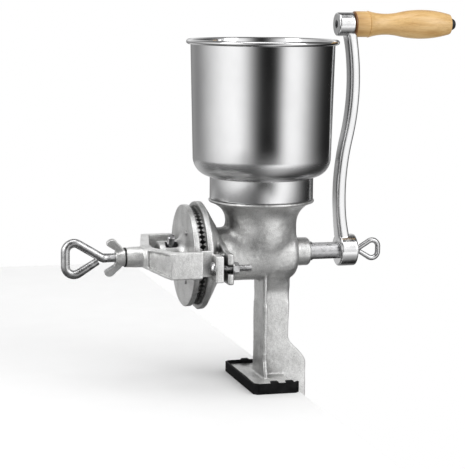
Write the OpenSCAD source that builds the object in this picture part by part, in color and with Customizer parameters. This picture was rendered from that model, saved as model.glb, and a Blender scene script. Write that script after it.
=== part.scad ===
// Hand grain mill that clamps to a table edge.
// X runs along the shaft towards the crank, Z is up, and the origin lies on the
// underside of the foot pad, below the middle of the throat.

/* [Shaft and barrel] */
// Height of the shaft's axis above the table
axis_z = 123; // [118:1:132]
// Outer diameter of the barrel
barrel_od = 50; // [48:1:54]
// Wall of the barrel round the feed screw
barrel_wall = 6; // [5:0.5:7]
// From the throat's middle to the barrel's right end
barrel_right = 32; // [30:0.5:40]
// Round on the edge of the barrel's right end
barrel_edge = 8; // [3:0.5:10]
// Diameter of the bearing collar
collar_od = 26.5; // [25:0.5:32]
// Length of the bearing collar
collar_len = 14.5; // [10:0.5:18]
// Diameter of the main shaft
shaft_d = 18; // [17:0.5:19]
// Bare shaft between the collar and the crank
shaft_bare = 28.5; // [20:0.5:34]
// Width across the two flats at the crank's end of the shaft
shaft_flats = 14; // [12:0.5:15]
// Diameter of the shaft's left end, inside the plate holder
journal_d = 15; // [13:0.5:16]
// Pitch of the feed screw
feed_pitch = 22; // [16:1:30]
// Thickness of the feed screw's flight
flight_t = 4; // [3:0.5:6]
// Running clearance on the radius of bearings
run_gap = 0.07; // [0.05:0.01:0.09]

/* [Throat and hopper] */
// Height of the throat's lip
throat_z = 174; // [170:1:184]
// Outer diameter of the throat's lip
lip_od = 98; // [94:1:104]
// Thickness of the throat's lip
lip_t = 2.4; // [1.5:0.1:4]
// Outer diameter of the throat below the flare
throat_od = 66; // [62:1:70]
// Radius of the throat's hollow flare
flare_r = 20; // [18:0.5:23]
// Wall of the throat
throat_wall = 5; // [4:0.5:6]
// Sheet thickness of the hopper
sheet_t = 1; // [0.8:0.1:1.6]
// Outer diameter of the hopper's neck
neck_od = 96; // [90:1:97]
// Height of the hopper's neck between the lip and the shoulder
neck_h = 21; // [14:1:30]
// Outer diameter of the hopper's bowl at its bottom
bowl_bottom_od = 128; // [122:1:134]
// Outer diameter of the hopper's bowl at its top
bowl_top_od = 133; // [130:1:138]
// Height of the hopper's bowl from the shoulder to the rim
bowl_h = 126; // [90:1:150]
// Round between the bowl's wall and its shoulder
bowl_round = 18; // [14:1:22]
// Diameter of the rolled bead on the rim
bead_d = 4.5; // [3:0.5:6]
// Depth of the hopper's spigot inside the throat
spigot_h = 10; // [6:1:14]
// Clearance between the spigot and the throat
spigot_gap = 0.4; // [0.3:0.05:0.8]

/* [Grinding plates] */
// From the throat's middle to the tips of the fixed plate's teeth
grind_x = 66; // [64:0.5:70]
// Gap between the two plates' teeth at rest
grind_gap = 1; // [0.8:0.1:2]
// Outer diameter of the plate housing
housing_od = 100; // [98:1:104]
// Thickness of the housing's rim
housing_rim = 5; // [4:0.5:7]
// Outer diameter of the turning plate holder
holder_od = 94; // [92:1:97]
// Thickness of the turning plate holder
holder_t = 5; // [4:0.5:7]
// Outer diameter of the toothed plates
burr_od = 90; // [86:1:91]
// Diameter of the hole in the toothed plates
burr_id = 39; // [39:1:42]
// Thickness of a toothed plate below its teeth
burr_base = 2; // [1.6:0.1:3]
// Height of the teeth
tooth_h = 2.8; // [2:0.1:3.5]
// Number of fine teeth round a plate
fine_teeth = 60; // [48:12:96]
// Number of coarse ridges near the middle of a plate
coarse_teeth = 12; // [6:6:12]
// Depth that a toothed plate is let into its seat
seat_depth = 2; // [1:0.1:2]
// Diameter of the plate holder's hub
hub_od = 28; // [26:1:32]
// Length of the plate holder's hub
hub_len = 24; // [24:0.5:30]
// Radius of the hub's flare into the plate
hub_flare = 10; // [5:0.5:12]
// Diameter of the drive pin
pin_d = 7; // [5:0.5:8]
// Length of the drive pin
pin_len = 46; // [38:1:54]
// Tilt of the drive pin from the vertical
pin_tilt = 30; // [0:5:90]
// How far the adjusting screw can open the plates from rest
open_travel = 3; // [1:0.25:3.5]
// Diameter of the plate screws' heads
burr_screw_d = 7; // [6:0.5:8]

/* [Bridge and adjusting screw] */
// Diameter of the bridge's hub
bridge_hub_od = 19.5; // [18:0.5:24]
// Length of the bridge's hub
bridge_hub_len = 24; // [22:1:28]
// Height of the bridge's arms
arm_h = 24; // [22:1:28]
// Thickness of the bridge's side arms
arm_t = 8; // [7:0.5:10]
// Outer width across the bridge's side arms
bridge_w = 124; // [122:1:134]
// Thickness of the bridge's feet
foot_flange_t = 7; // [5:0.5:9]
// Length of the pocket for a bolt's head
pocket_len = 13; // [11:0.5:16]
// Diameter of the bridge bolts
bolt_d = 6; // [5:0.5:6.5]
// Length of a bridge bolt below its head
bolt_len = 34; // [32:0.5:42]
// Gap between a bridge foot and its ear
ear_gap = 3.5; // [2:0.25:5]
// Thickness of the ears
ear_t = 5.5; // [4:0.5:8]
// Height of the ears
ear_h = 28; // [26:1:34]
// How far the ears and bolts lie below the shaft's axis
bolt_drop = 3.5; // [0:0.5:5]
// Diameter of the thrust ball
ball_d = 8; // [7:0.5:9]
// Diameter of the adjusting screw
adjust_d = 8.5; // [8:0.5:9]
// Free length of the adjusting screw outside the bridge's hub
adjust_out = 21.5; // [20:0.5:30]
// Length of the adjusting screw's eye
adjust_eye = 38; // [32:1:44]
// Height of the adjusting screw's eye
adjust_eye_h = 37; // [32:1:44]
// Height of the wing nut along the screw
wing_h = 13; // [10:0.5:16]
// Span across the wing nut's wings
wing_span = 38; // [32:1:44]
// Turn of the wing nut's wings from the vertical
wing_turn = 20; // [0:5:90]
// Thickness of the lock washer
lock_t = 1.2; // [0.5:0.1:1.5]

/* [Crank and grip] */
// Throw of the crank
crank_throw = 212; // [204:1:230]
// Bow of the crank's curve to each side
crank_bow = 6; // [3:0.5:8]
// Width of the crank's arm
crank_w = 11; // [9:0.5:13]
// Depth of the crank's arm
crank_depth = 14; // [12:0.5:16]
// Diameter of the crank's hub
crank_hub_od = 30; // [26:1:36]
// Length of the crank's hub
crank_hub_len = 17; // [14:0.5:22]
// Diameter of the boss at the grip
boss_od = 22; // [20:1:26]
// Length of the boss at the grip
boss_len = 16.5; // [14:0.5:20]
// Diameter of the grip's pin
grip_pin_d = 7; // [5:0.5:8]
// Length of the wooden grip
grip_len = 95; // [86:1:110]
// Diameter of the grip's collar
grip_collar_d = 24; // [22:0.5:28]
// Length of the grip's collar
grip_collar_len = 14; // [8:1:18]
// Diameter of the grip at its neck
grip_neck_d = 19.5; // [17:0.5:21]
// Diameter of the grip at its swell
grip_swell_d = 27; // [25:0.5:32]
// Diameter of the cap nut at the grip's end
cap_d = 12; // [11:0.5:14]
// Length of the cap nut
cap_len = 5; // [4:0.5:8]
// Diameter of the crank's eye screw
crank_screw_d = 7; // [5:0.5:8]
// Wire diameter of the crank's eye
crank_wire_d = 5; // [4:0.5:6]
// Length of the crank's eye
crank_eye = 24; // [20:1:30]
// Height of the crank's eye
crank_eye_h = 22; // [19:1:26]

/* [Leg, foot and clamp] */
// Thickness of the leg's cross plate
leg_plate_t = 4; // [3:0.5:7]
// Width of the leg's cross plate at the top
leg_top_w = 37; // [34:1:44]
// Width of the leg's cross plate at the bottom
leg_bottom_w = 34; // [30:1:40]
// Thickness of the leg's web and the clamp arm
web_t = 8; // [6:0.5:12]
// From the leg's cross plate to the web's right edge
web_w = 24.5; // [22:0.5:30]
// From the middle of the throat to the clamp arm's outer edge
arm_out = 44.5; // [42:0.5:52]
// Left end of the foot plate
foot_left = 18; // [15:1:26]
// Right end of the foot plate
foot_right = 22; // [20:1:26]
// Width of the foot plate
foot_w = 100; // [80:1:110]
// Thickness of the foot plate
foot_t = 4; // [4:0.5:8]
// Thickness of the rubber under the foot plate
pad_t = 3; // [2:0.5:5]
// Thickness of the rubber round the foot plate
pad_lip = 2; // [1.5:0.25:2.5]
// Opening of the clamp below the table face
clamp_open = 62; // [56:1:80]
// Height of the clamp's lower jaw
jaw_h = 18; // [14:1:26]
// From the middle of the throat to the clamp screw
clamp_x = 6; // [0:1:12]
// Diameter of the clamp screw
clamp_d = 12; // [10:0.5:14]
// Diameter of the clamp's swivel pad
clamp_pad_d = 30; // [26:1:36]
// Height of the clamp pad's face below the table face at rest
clamp_rest = 28; // [24:1:32]
// Farthest that the clamp pad rises from rest
clamp_rise = 18; // [10:1:18]

/* [Hidden] */
$fn = 72;
// Overlap that makes a cut pass cleanly through a face
over = 0.5;
barrel_r = barrel_od / 2;
bore_r = barrel_r - barrel_wall;
// Wall between the feed chamber and the right bearing
bearing_wall = 16;
bore_right = barrel_right - bearing_wall;
collar_end = barrel_right + collar_len;
crank_x = collar_end + shaft_bare;
crank_end = crank_x + crank_hub_len;
// Play between the feed screw and the barrel
flight_gap = 0.8;
// The throat's hollow flare is an arc round this circle's middle
lip_r = lip_od / 2;
flare_mid = throat_od / 2 + flare_r;
flare_z = throat_z - lip_t - sqrt(pow(flare_r, 2) - pow(flare_mid - lip_r, 2));
// Straight neck between the flare and the round of the throat
bulb_drop = 7;
bulb_z = flare_z - bulb_drop;
// Hopper heights
shoulder_z = throat_z + neck_h;
rim_z = shoulder_z + bowl_h;
// Stations of the grinding plates along the shaft, counted to the left
housing_front = grind_x - tooth_h - burr_base + seat_depth;
housing_back = housing_front - housing_rim;
cone_len = 12;
cone_end_r = barrel_r + 5;
turning_tip = grind_x + grind_gap;
holder_front = turning_tip + tooth_h + burr_base - seat_depth;
holder_face = holder_front + holder_t;
hub_end = holder_face + hub_len;
// Wall that closes the hub's left end, in front of the ball
hub_wall = 4;
journal_end = hub_end - hub_wall - 1.5;
pin_x = journal_end - 1.5 - pin_d / 2;
slot_play = 0.4;
// Plate screws, on a circle in the coarse part of a plate. The small turn keeps
// them off the lines of the teeth.
burr_land_r = burr_od * 0.36;
burr_screw_r = (burr_id / 2 + burr_land_r) / 2;
burr_screw_in = 4.5;
burr_screw_turn = 0.8;
// How far the screw can close the plates from rest
close_travel = grind_gap - 0.4;
// The ball lies in a hollow of the hub and a hollow of the screw's tip
ball_sink = 2;
ball_gap = 0.3;
ball_x = hub_end + ball_d / 2 - ball_sink;
screw_tip = ball_x + ball_d / 2 - ball_sink;
// Bridge stations along the shaft, counted to the left
bridge_space = 6;
bridge_right = hub_end + bridge_space;
hub_tip_d = bridge_hub_od - 1.5;
bridge_left = bridge_right + bridge_hub_len;
bridge_r = bridge_w / 2;
rim_space = 0.6;
arm_in = housing_od / 2 + rim_space;
foot_left_x = housing_back + 2;
foot_right_x = foot_left_x - foot_flange_t;
pocket_end = foot_left_x + pocket_len;
bolt_head_d = 12.4;
pocket_floor = 2;
bolt_y = arm_in + pocket_floor + bolt_head_d / 2 + 0.4;
foot_y = bolt_y + bolt_d / 2 + 4;
slope_t = 9;
slope_in = bridge_right - 10;
corner_drop = slope_in + slope_t - 3;
ear_front = foot_right_x - ear_gap;
ear_back = ear_front - ear_t;
ear_y = bolt_y + bolt_d / 2 + 6;
land_y = arm_in + 3.4;
slot_w = bolt_d + 2;
// Flat washer and nut behind each ear
washer_t = 1.2;
washer_d = 2 * bolt_d + 1;
nut_h = 0.8 * bolt_d;
nut_d = 1.9 * bolt_d;
// Adjusting screw and wing nut stations, counted to the left
nut_right = bridge_left + lock_t;
eye_x = bridge_left + adjust_out;
wing_t = 4;
// Crank's curve: two equal arcs that meet half way up
boss_x = crank_x - 3;
crank_mid_x = crank_x + 7.3;
quarter = crank_throw / 4;
crank_arc = (pow(quarter, 2) + pow(crank_bow, 2)) / (2 * crank_bow);
crank_half = asin(quarter / crank_arc);
// The arm's section is where two circles cross
lens_sum = pow(crank_depth, 2) / (2 * crank_w);
lens_r = (lens_sum + crank_w / 2) / 2;
lens_off = lens_r - crank_w / 2;
grip_z = axis_z + crank_throw;
boss_end = boss_x + boss_len;
grip_gap = 0.4;
grip_x = boss_end + grip_gap;
grip_room = grip_collar_d / 2 + 2;
grip_end = grip_x + grip_len;
// Grip's neck and swell are arcs that run into each other
neck_at = 31;
swell_at = 65;
neck_arc = 60;
arc_rise = (grip_swell_d - grip_neck_d) / 2;
arc_sum = (pow(swell_at - neck_at, 2) + pow(arc_rise, 2)) / (2 * arc_rise);
swell_arc = arc_sum - neck_arc;
arc_meet = neck_at + (swell_at - neck_at) * neck_arc / arc_sum;
end_arc = 34;
end_flat = 0.6;
crank_washer_t = 1.5;
crank_washer_d = 20;
screw_seat = crank_end + crank_washer_t;
shoulder_t = 2;
shoulder_d = 11;
crank_screw_in = 18;
// Leg and foot
leg_x = -1.5;
leg_edge = leg_x + leg_plate_t + web_w;
foot_top = pad_t + foot_t;
pad_gap = 0.1;
pad_rise = 3;
foot_corner = 4;
bend_top = 44;
bend_bottom = 17;
bend_steps = 10;
table_gap = 1.2;
arm_face = foot_right + pad_lip + pad_gap + table_gap;
jaw_top = -clamp_open;
jaw_bottom = jaw_top - jaw_h;
jaw_boss_r = clamp_d / 2 + 7;
// Clamp pad and screw
pad_disc_t = 4;
pad_boss_h = 8;
pad_boss_d = 18;
pivot_d = 8;
pivot_gap = 0.3;
pivot_h = pad_boss_h - 1;
pad_bottom = -clamp_rest - pad_disc_t - pad_boss_h;
pivot_top = pad_bottom + pivot_h;
clamp_eye_z = jaw_bottom - clamp_rise - 5;
clamp_eye = 34;
clamp_eye_h = 38;
clamp_wire_d = 8;

// Frames and small helpers

// Draws along the shaft: the child's Z axis runs to the right from station x
module along_x(x) {
    translate([x, 0, axis_z]) rotate([0, 90, 0]) children();
}

// Draws along the shaft to the left, from station x on the left of the throat
module to_left(x) {
    translate([-x, 0, axis_z]) rotate([0, -90, 0]) children();
}

module both_sides() {
    children();
    mirror([0, 1, 0]) children();
}

// Revolved disc with a rounded or bevelled far edge
module round_end(r, h, edge) {
    rotate_extrude() {
        square([r, h - edge]);
        square([r - edge, h]);
        intersection() {
            translate([r - edge, h - edge]) circle(edge);
            square([r, h]);
        }
    }
}

module bevel_end(r, h, bevel) {
    rotate_extrude() polygon([[0, 0], [r, 0], [r, h - bevel], [r - bevel, h], [0, h]]);
}

// Skin swept along a path in the XZ plane. Each station is [x, z, heading], and the
// section's points are [across the path in the plane, along Y].
module planar_sweep(path, section) {
    n = len(section);
    last = n * (len(path) - 1);
    points = [
        for (p = path, q = section)
        [p[0] - q[0] * sin(p[2]), q[1], p[1] + q[0] * cos(p[2])]
    ];
    sides = [
        for (i = [0 : len(path) - 2], k = [0 : n - 1])
        let (a = n * i + k, b = n * i + (k + 1) % n)
        each [[a, a + n, b + n], [a, b + n, b]]
    ];
    caps = [for (k = [1 : n - 2]) each [[0, k, k + 1], [last, last + k + 1, last + k]]];
    polyhedron(points, concat(sides, caps));
}

function ring(r, n) = [for (i = [0 : n - 1]) [r * cos(360 * i / n), -r * sin(360 * i / n)]];

// Bent wire eye in the XZ plane. The stem comes from the right to the origin,
// and the wire's cut end stops just short of it.
module wire_eye(wire_d, length, height, corner) {
    mid_x = -(length - wire_d / 2 - corner);
    mid_z = height / 2 - wire_d / 2 - corner;
    reach = norm([mid_x, mid_z]);
    lean = atan2(mid_z, mid_x) - asin(corner / reach);
    cut = 1.25 * wire_d;
    steps = 9;
    turn = 270 - lean;
    bend = [for (i = [0 : steps]) lean - 90 + turn * i / steps];
    path = concat(
        [[0, 0, lean]],
        [for (a = bend) [mid_x + corner * cos(a), mid_z + corner * sin(a), a + 90]],
        [
            for (a = bend)
            let (b = 180 + a - bend[0])
            [mid_x + corner * cos(b), -mid_z + corner * sin(b), b + 90]
        ],
        [[cut * cos(lean), -cut * sin(lean), 180 - lean]]
    );
    planar_sweep(path, ring(wire_d / 2, 14));
}

// Body casting

// Region inside the throat's flare, for a flare arc of radius r
module flare_region(r, bottom, top) {
    difference() {
        translate([0, bottom]) square([flare_mid, top - bottom]);
        translate([flare_mid, flare_z]) circle(r);
    }
}

module throat_outside() {
    rotate_extrude() {
        intersection() {
            flare_region(flare_r, flare_z, throat_z);
            square([lip_r, throat_z]);
        }
        translate([0, throat_z - lip_t]) square([lip_r, lip_t]);
        translate([0, bulb_z]) square([throat_od / 2, bulb_drop]);
        bulb_region(throat_od / 2);
    }
}

// Lower half round of the throat
module bulb_region(r) {
    translate([0, bulb_z]) intersection() {
        circle(r);
        translate([0, -r]) square(r);
    }
}

module throat_inside() {
    inner_r = throat_od / 2 - throat_wall;
    rotate_extrude() {
        flare_region(flare_r + throat_wall, flare_z, throat_z + over);
        translate([0, bulb_z]) square([inner_r, bulb_drop]);
        bulb_region(inner_r);
    }
}

module housing() {
    to_left(housing_back - cone_len)
        rotate_extrude()
        polygon([
            [0, 0], [cone_end_r, 0], [housing_od / 2, cone_len],
            [housing_od / 2, cone_len + housing_rim], [0, cone_len + housing_rim]
        ]);
}

// One ear with its sloping shoulder, drawn in the YZ plane and given its thickness along X
module ear() {
    half = ear_h / 2;
    slope_y = arm_in - 14;
    crown = barrel_r - 1;
    translate([-ear_front, 0, axis_z - bolt_drop])
        rotate([90, 0, 90])
        linear_extrude(ear_t)
        difference() {
            polygon([
                [0, -crown], [slope_y, -half], [ear_y, -half], [ear_y, half],
                [arm_in + 2, half], [crown, crown], [0, crown + bolt_drop]
            ]);
            translate([bolt_y, 0]) circle(d = slot_w);
            translate([bolt_y, -slot_w / 2]) square([ear_y, slot_w]);
        }
    translate([-foot_right_x, slope_y, axis_z - bolt_drop - half + 2])
        cube([ear_gap + over, land_y - slope_y, ear_h - 4]);
}

// Smooth change from 0 to 1 as t goes from 0 to 1
function ease(t) = (1 - cos(180 * t)) / 2;

module leg() {
    // Cross plate, a little narrower below and spread again at the foot
    top = axis_z - barrel_r + 8;
    translate([leg_x, 0, 0]) rotate([90, 0, 90]) linear_extrude(leg_plate_t) polygon([
        [-leg_top_w / 2, top], [-leg_bottom_w / 2, foot_top + 16], [-leg_bottom_w / 2 - 4, foot_top - 1],
        [leg_bottom_w / 2 + 4, foot_top - 1], [leg_bottom_w / 2, foot_top + 16], [leg_top_w / 2, top]
    ]);
    // Web and clamp arm in one plate
    rotate([90, 0, 0]) translate([0, 0, -web_t / 2]) linear_extrude(web_t) polygon(concat(
        [[leg_x + 1, top], [leg_edge + 1.5, top]],
        [
            for (i = [0 : bend_steps])
            let (t = i / bend_steps)
            [leg_edge + (arm_out - leg_edge) * ease(t), bend_top + (bend_bottom - bend_top) * t]
        ],
        [
            [arm_out, jaw_bottom + 8], [arm_out - 8, jaw_bottom], [clamp_x, jaw_bottom],
            [clamp_x, jaw_top], [arm_face - 6, jaw_top], [arm_face, jaw_top + 6],
            [arm_face, pad_t], [leg_x + 1, pad_t]
        ]
    ));
    // Fillet blocks that carry the barrel on the leg
    hull() {
        translate([leg_x + 1, -barrel_r * 0.55, axis_z - barrel_r + 6])
            cube([barrel_right - barrel_edge - leg_x - 1, barrel_r * 1.1, 1]);
        translate([leg_x + 1, -web_t / 2, axis_z - barrel_r - 12]) cube([leg_edge - leg_x, web_t, 1]);
    }
}

// Foot plate with bevelled corners, drawn out by grow. The plate itself has a gently
// hollow left edge.
module foot_outline(grow) {
    hollow_r = 160;
    hollow_in = 4;
    left = -foot_left - grow;
    right = foot_right + grow;
    side = foot_w / 2 + grow;
    difference() {
        polygon([
            [left, side - foot_corner], [left, foot_corner - side],
            [left + foot_corner, -side], [right - foot_corner, -side],
            [right, foot_corner - side], [right, side - foot_corner],
            [right - foot_corner, side], [left + foot_corner, side]
        ]);
        if (grow == 0) translate([left - hollow_r + hollow_in, 0]) circle(hollow_r);
    }
}

module body_casting() {
    color([0.78, 0.78, 0.76]) difference() {
        union() {
            throat_outside();
            along_x(-housing_back + cone_len - over)
                round_end(barrel_r, barrel_right + housing_back - cone_len + over, barrel_edge);
            along_x(barrel_right - over) bevel_end(collar_od / 2, collar_len + over, 1.5);
            housing();
            both_sides() ear();
            leg();
            translate([0, 0, pad_t]) linear_extrude(foot_t) foot_outline(0);
            translate([clamp_x, 0, jaw_bottom]) cylinder(h = jaw_h, r = jaw_boss_r);
        }
        throat_inside();
        along_x(-housing_front - over) cylinder(h = housing_front + over + bore_right, r = bore_r);
        along_x(0) cylinder(h = collar_end + over, r = shaft_d / 2 + run_gap);
        to_left(housing_front - seat_depth) cylinder(h = seat_depth + over, d = burr_od + 0.4);
        translate([clamp_x, 0, jaw_bottom - over])
            cylinder(h = jaw_h + 2 * over, r = clamp_d / 2 + run_gap);
        burr_screws(housing_front - seat_depth, 1, 0.05);
    }
}

// Rubber pad: a tray under the foot plate, open towards the clamp arm, with small hooks
// over the plate's long edges
module foot_pad() {
    pad_h = foot_top + pad_rise;
    hook_w = 7;
    hook_in = 3.5;
    hook_t = 2;
    open_w = foot_w - 2 * foot_corner;
    color([0.07, 0.07, 0.08]) {
        difference() {
            linear_extrude(pad_h) foot_outline(pad_lip + pad_gap);
            translate([0, 0, pad_t]) linear_extrude(pad_h) foot_outline(pad_gap);
            translate([0, -open_w / 2, pad_t]) cube([foot_right + 2 * pad_lip, open_w, pad_h]);
        }
        both_sides() for (x = [-hook_w / 2, foot_right - foot_corner - hook_w])
            translate([x, foot_w / 2 - hook_in, pad_h - over]) cube([hook_w, hook_in + pad_lip, hook_t]);
    }
}

// Hopper

// Region inside the hopper's outside, drawn in by inset
module hopper_region(inset, low, high) {
    bottom_r = bowl_bottom_od / 2;
    top_r = bowl_top_od / 2;
    round_z = shoulder_z + bowl_round;
    polygon([
        [0, round_z], [bottom_r - inset, round_z],
        [top_r - inset, rim_z + high], [0, rim_z + high]
    ]);
    intersection() {
        translate([bottom_r - bowl_round, round_z]) circle(bowl_round - inset);
        translate([bottom_r - bowl_round, shoulder_z]) square(bowl_round);
    }
    translate([0, shoulder_z + inset]) square([bottom_r - bowl_round, bowl_round]);
    translate([0, throat_z + inset]) square([neck_od / 2 - inset, neck_h + 2]);
    flare_region(
        flare_r + throat_wall + spigot_gap + inset,
        throat_z - spigot_h - low, throat_z + inset
    );
}

module hopper() {
    color([0.8, 0.81, 0.82]) rotate_extrude($fn = 96) {
        difference() {
            hopper_region(0, 0, 0);
            hopper_region(sheet_t, over, over);
        }
        translate([bowl_top_od / 2 + bead_d / 2 - sheet_t / 2, rim_z - bead_d / 2]) circle(d = bead_d);
    }
}

// Shaft, feed screw and drive pin

// Feed screw on its own thick core, as one section turned along the shaft
module feed_screw(x0, x1) {
    core_r = shaft_d / 2 + 1;
    tip_r = bore_r - flight_gap;
    root_half = 180 * flight_t / feed_pitch;
    tip_half = 0.4 * root_half;
    root_r = core_r - 2;
    corners = [[root_r, -root_half], [tip_r, -tip_half], [tip_r, tip_half], [root_r, root_half]];
    turns = (x1 - x0) / feed_pitch;
    along_x(x0) linear_extrude(x1 - x0, twist = -360 * turns, slices = ceil(24 * turns), $fn = 16) {
        circle(core_r, $fn = 12);
        polygon([for (q = corners) q[0] * [cos(q[1]), sin(q[1])]]);
    }
}

module auger() {
    flats_x = collar_end + 3;
    journal_x = grind_x - 8;
    tapped = crank_screw_in + 2;
    color([0.72, 0.73, 0.74]) difference() {
        union() {
            along_x(-journal_end) cylinder(h = journal_end - journal_x, d = journal_d);
            along_x(-journal_x) cylinder(h = journal_x + flats_x, d = shaft_d);
            intersection() {
                along_x(flats_x - over) cylinder(h = crank_end - flats_x, d = shaft_d);
                translate([flats_x - over, -shaft_d, axis_z - shaft_flats / 2])
                    cube([crank_end, 2 * shaft_d, shaft_flats]);
            }
            feed_screw(-housing_front + 4, bore_right - 2);
        }
        drive_hole(pin_d / 2 + 0.04);
        along_x(crank_end - tapped) cylinder(h = tapped + over, r = crank_screw_d / 2 + run_gap);
    }
}

module drive_hole(r) {
    translate([-pin_x, 0, axis_z]) rotate([pin_tilt, 0, 0])
        cylinder(h = 2 * pin_len, r = r, center = true);
}

module drive_pin() {
    bevel = 0.8;
    half = pin_len / 2;
    color([0.5, 0.5, 0.52]) translate([-pin_x, 0, axis_z]) rotate([pin_tilt, 0, 0])
        rotate_extrude() polygon([
            [0, -half], [pin_d / 2 - bevel, -half], [pin_d / 2, bevel - half],
            [pin_d / 2, half - bevel], [pin_d / 2 - bevel, half], [0, half]
        ]);
}

// Grinding plates

// Height of a plate's face at ring k and angular step i: fine teeth outside, coarse ridges inside
function tooth_top(k, i) =
    let (
        half_ridge = fine_teeth / coarse_teeth,
        ridge = abs(i % (2 * half_ridge) - half_ridge) / half_ridge,
        tooth = i % 2
    )
    tooth_h * (k >= 2 ? tooth : k == 1 ? 0.4 + 0.3 * tooth : 0.6 * (ridge - 0.4));

// Toothed ring with its back on the XY plane
module burr() {
    steps = 2 * fine_teeth;
    ring_r = [burr_id / 2, burr_land_r, burr_od * 0.42, burr_od / 2];
    points = concat(
        [for (i = [0 : steps - 1]) ring_point(ring_r[0], i, steps, 0)],
        [
            for (k = [0 : 3], i = [0 : steps - 1])
            ring_point(ring_r[k], i, steps, burr_base + tooth_top(k, i))
        ],
        [for (i = [0 : steps - 1]) ring_point(ring_r[3], i, steps, 0)]
    );
    rings = 6;
    faces = [
        for (k = [0 : rings - 1], i = [0 : steps - 1])
        let (
            a = k * steps + i, b = k * steps + (i + 1) % steps,
            c = ((k + 1) % rings) * steps + (i + 1) % steps, d = ((k + 1) % rings) * steps + i
        )
        each [[a, b, c], [a, c, d]]
    ];
    polyhedron(points, faces);
}

function ring_point(r, i, steps, z) = [r * cos(360 * i / steps), r * sin(360 * i / steps), z];

// Three countersunk screws seen from a seat at station x, side 1 for heads to the left
module burr_screws(x, side, grow) {
    head_r = burr_screw_d / 2 + grow;
    shank_r = burr_screw_d / 4 + grow;
    bottom = -burr_screw_in - grow;
    cone_z = burr_base - 1.7;
    head_z = burr_base - 0.2;
    top = grow > 0 ? burr_base + tooth_h + over : burr_base;
    for (a = [90, 210, 330]) {
        translate([-x, 0, axis_z])
            rotate([0, -90 * side, 0])
            rotate([0, 0, a + burr_screw_turn])
            translate([burr_screw_r, 0, 0])
            rotate_extrude($fn = 32)
            polygon([
                [0, bottom], [shank_r, bottom], [shank_r, cone_z],
                [head_r, head_z], [head_r, top], [0, top]
            ]);
    }
}

module fixed_burr() {
    color([0.62, 0.62, 0.63]) difference() {
        to_left(housing_front - seat_depth) burr();
        burr_screws(housing_front - seat_depth, 1, 0.05);
    }
}

module fixed_burr_screws() {
    color([0.45, 0.45, 0.47]) burr_screws(housing_front - seat_depth, 1, 0);
}

module rotating_burr() {
    color([0.62, 0.62, 0.63]) difference() {
        along_x(-holder_front - seat_depth) burr();
        burr_screws(holder_front + seat_depth, -1, 0.05);
    }
}

module rotating_burr_screws() {
    color([0.45, 0.45, 0.47]) burr_screws(holder_front + seat_depth, -1, 0);
}

// Round plate with a flared hub that is closed at its left end
module burr_holder() {
    hub_r = hub_od / 2;
    slot_len = pin_d + 2 * slot_play + open_travel + close_travel;
    color([0.74, 0.74, 0.72]) difference() {
        to_left(holder_front) rotate_extrude() {
            square([holder_od / 2, holder_t]);
            square([hub_r, holder_t + hub_len]);
            translate([0, holder_t]) difference() {
                square([hub_r + hub_flare, hub_flare]);
                translate([hub_r + hub_flare, hub_flare]) circle(hub_flare);
            }
        }
        to_left(holder_front - over) cylinder(h = seat_depth + over, d = burr_od + 0.4);
        to_left(holder_front - over)
            cylinder(h = hub_end - hub_wall - holder_front + over, r = journal_d / 2 + run_gap);
        translate([-ball_x, 0, axis_z]) sphere(ball_d / 2 + ball_gap);
        translate([-pin_x - pin_d / 2 - slot_play - close_travel, 0, axis_z]) rotate([pin_tilt, 0, 0])
            translate([0, -pin_d / 2 - slot_play, -hub_od])
            cube([slot_len, pin_d + 2 * slot_play, 2 * hub_od]);
        burr_screws(holder_front + seat_depth, -1, 0.05);
    }
}

// Bridge over the plates

// Half height of the bridge at distance y from the shaft, for its sides and its recess
module bridge_heights(inset) {
    near = bridge_hub_od / 2 - 0.6 - inset;
    far = arm_h / 2 - inset;
    knee = bridge_r - arm_t;
    translate([-bridge_left, 0, axis_z]) rotate([90, 0, 90]) linear_extrude(bridge_left) polygon([
        [-1, -near], [knee, -far], [foot_y + 1, -far], [foot_y + 1, far], [knee, far], [-1, near]
    ]);
}

// One arm: a sloping stretch with a recess, a straight side, and a foot that carries the bolt
module bridge_half() {
    hub_left = bridge_right + slope_t;
    root_y = 6;
    wall_y = arm_in + pocket_floor;
    run = [-corner_drop + hub_left, bridge_r - root_y];
    along = run / norm(run);
    inward = [along[1], -along[0]];
    from = [-hub_left, root_y] + along * 10;
    to = [-corner_drop, bridge_r] - along * 3;
    recess = 3;
    end_wall = 2;
    difference() {
        intersection() {
            translate([0, 0, axis_z - arm_h / 2]) linear_extrude(arm_h) polygon([
                [-hub_left, -1], [-hub_left, root_y], [-corner_drop, bridge_r],
                [end_wall - pocket_end, bridge_r], [end_wall - pocket_end, wall_y],
                [over - foot_left_x, wall_y], [over - foot_left_x, arm_in],
                [-pocket_end, arm_in], [-pocket_end, bridge_r - arm_t], [-slope_in, bridge_r - arm_t],
                [-bridge_right, root_y], [-bridge_right, -1]
            ]);
            bridge_heights(0);
        }
        intersection() {
            translate([0, 0, axis_z - arm_h / 2]) linear_extrude(arm_h)
                polygon([from - inward, to - inward, to + inward * recess, from + inward * recess]);
            bridge_heights(2.5);
        }
    }
    difference() {
        translate([-foot_left_x, arm_in, axis_z - bolt_drop - arm_h / 2])
            cube([foot_flange_t, foot_y - arm_in, arm_h]);
        translate([-foot_left_x - over, bolt_y, axis_z - bolt_drop]) rotate([0, 90, 0])
            cylinder(h = foot_flange_t + 2 * over, d = bolt_d + 0.3);
    }
}

module bridge() {
    color([0.8, 0.8, 0.78]) difference() {
        union() {
            both_sides() bridge_half();
            to_left(bridge_right) cylinder(h = bridge_hub_len, d1 = bridge_hub_od + 1, d2 = hub_tip_d);
        }
        to_left(bridge_right - over) cylinder(h = bridge_hub_len + 2 * over, r = adjust_d / 2 + run_gap);
    }
}

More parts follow.
